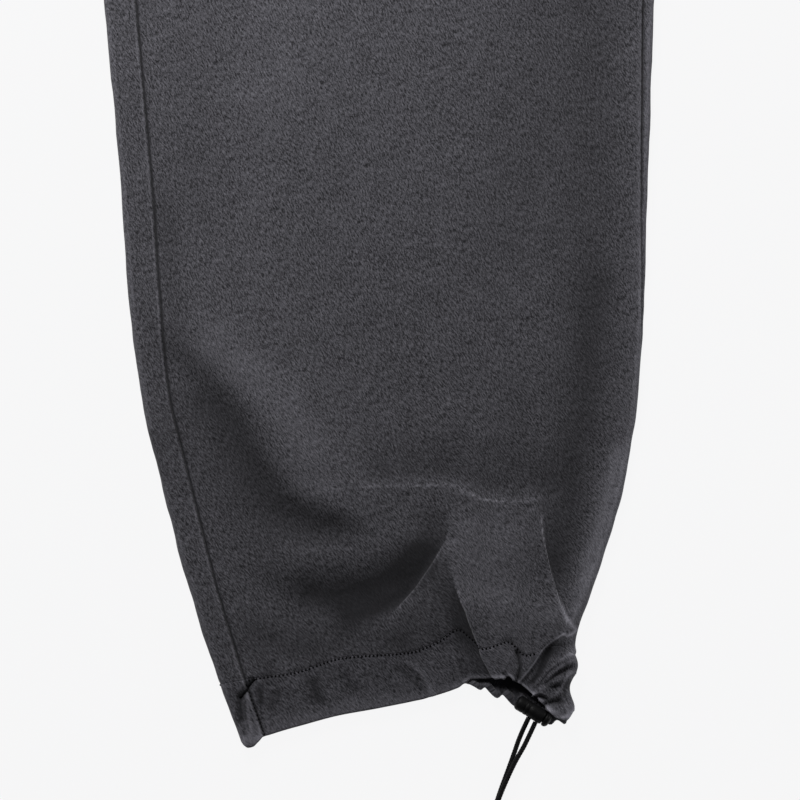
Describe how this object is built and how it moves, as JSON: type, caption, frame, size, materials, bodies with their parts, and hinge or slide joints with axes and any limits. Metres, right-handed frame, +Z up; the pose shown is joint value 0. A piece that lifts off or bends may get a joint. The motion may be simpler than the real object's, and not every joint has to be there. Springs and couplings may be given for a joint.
{
  "type": "cargo pants",
  "caption": "Wide balloon-leg cargo pants in thick brushed sweat cloth, laid flat, with drawcord hems pulled in by a cord lock, an elastic waistband and flapped thigh pockets",
  "frame": {"origin": "on the surface under the middle of the flat-laid cloth, measured without the loose cord ends", "axes": "+Y runs from the hems to the waist, +X to the wearer's left leg, +Z up out of the front"},
  "size_m": [0.7436, 1.1437, 0.0172],
  "materials": {
    "brushed_cloth": "charcoal washed cotton twill with a short brushed nap, matt",
    "casing_cloth": "the same cloth turned double and stitched, matt",
    "cord": "black braided round cord",
    "lock_plastic": "black moulded nylon, satin"
  },
  "bodies": {
    "root": {"front_panel_left": "brushed_cloth", "back_panel_left": "brushed_cloth", "cargo_pocket_left": "brushed_cloth", "pocket_flap_left": "brushed_cloth", "hem_casing_left": "casing_cloth", "cord_lock_body_left": "lock_plastic", "cord_lock_button_left": "lock_plastic", "drawcord_lower_left": "cord", "drawcord_upper_left": "cord", "drawcord_knot_left": "cord", "front_panel_right": "brushed_cloth", "back_panel_right": "brushed_cloth", "cargo_pocket_right": "brushed_cloth", "pocket_flap_right": "brushed_cloth", "hem_casing_right": "casing_cloth", "cord_lock_body_right": "lock_plastic", "cord_lock_button_right": "lock_plastic", "drawcord_lower_right": "cord", "drawcord_upper_right": "cord", "drawcord_knot_right": "cord", "waistband": "casing_cloth"}
  },
  "joints": []
}
